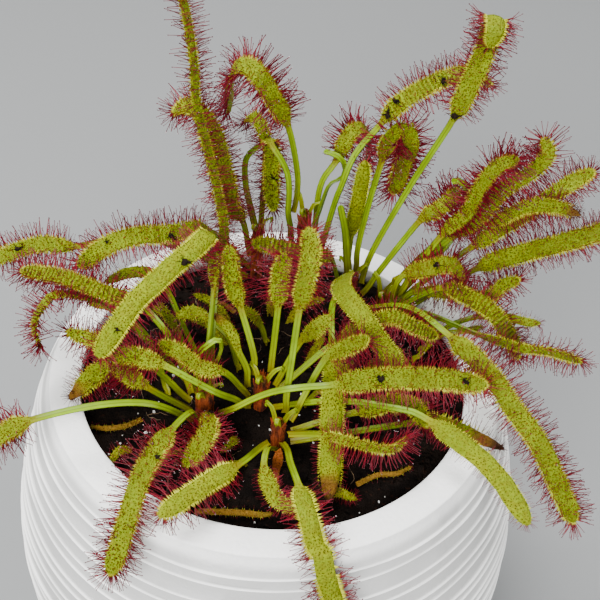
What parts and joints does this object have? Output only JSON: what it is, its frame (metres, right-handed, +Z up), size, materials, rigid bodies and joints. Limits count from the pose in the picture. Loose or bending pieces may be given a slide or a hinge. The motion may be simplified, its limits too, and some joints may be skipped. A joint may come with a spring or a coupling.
{
  "type": "potted sundew",
  "caption": "Strap-leaved sundew with several crowns and tentacle-fringed blades, growing in soil in a round ribbed ceramic pot.",
  "frame": {"origin": "middle of the pot's foot, on the surface that it stands on", "axes": "+Z up along the pot's axis, the picture's camera on the -Y side, +X to its right"},
  "size_m": [0.1826, 0.1404, 0.2021],
  "materials": {
    "pot": "off-white matt ceramic with thin raised ridges",
    "soil": "dark peaty soil with small white grains",
    "crown": "red-brown fibrous stem",
    "leaf": "soft yellow-green leaf with red gland-tipped tentacles"
  },
  "bodies": {
    "root": {"crown_back": "crown", "crown_front": "crown", "crown_left": "crown", "crown_middle": "crown", "crown_rear": "crown", "crown_right": "crown", "crown_side": "crown", "leaf_back_01": "leaf", "leaf_back_02": "leaf", "leaf_back_03": "leaf", "leaf_back_04": "leaf", "leaf_front_01": "leaf", "leaf_front_02": "leaf", "leaf_front_03": "leaf", "leaf_front_04": "leaf", "leaf_front_05": "leaf", "leaf_front_06": "leaf", "leaf_front_07": "leaf", "leaf_front_08": "leaf", "leaf_left_01": "leaf", "leaf_left_02": "leaf", "leaf_left_03": "leaf", "leaf_left_04": "leaf", "leaf_left_05": "leaf", "leaf_left_06": "leaf", "leaf_left_07": "leaf", "leaf_left_08": "leaf", "leaf_left_09": "leaf", "leaf_left_10": "leaf", "leaf_middle_01": "leaf", "leaf_middle_02": "leaf", "leaf_middle_03": "leaf", "leaf_middle_04": "leaf", "leaf_middle_05": "leaf", "leaf_middle_06": "leaf", "leaf_middle_07": "leaf", "leaf_middle_08": "leaf", "leaf_rear_01": "leaf", "leaf_rear_03": "leaf", "leaf_rear_04": "leaf", "leaf_rear_05": "leaf", "leaf_right_01": "leaf", "leaf_right_02": "leaf", "leaf_right_03": "leaf", "leaf_right_05": "leaf", "leaf_right_06": "leaf", "leaf_right_07": "leaf", "leaf_right_08": "leaf", "leaf_right_09": "leaf", "leaf_side_02": "leaf", "leaf_side_03": "leaf", "leaf_side_04": "leaf", "leaf_side_05": "leaf", "leaf_side_06": "leaf", "leaf_side_07": "leaf", "leaf_side_08": "leaf", "leaf_side_09": "leaf", "leaf_side_10": "leaf", "pot": "pot", "soil": "soil"}
  },
  "joints": []
}
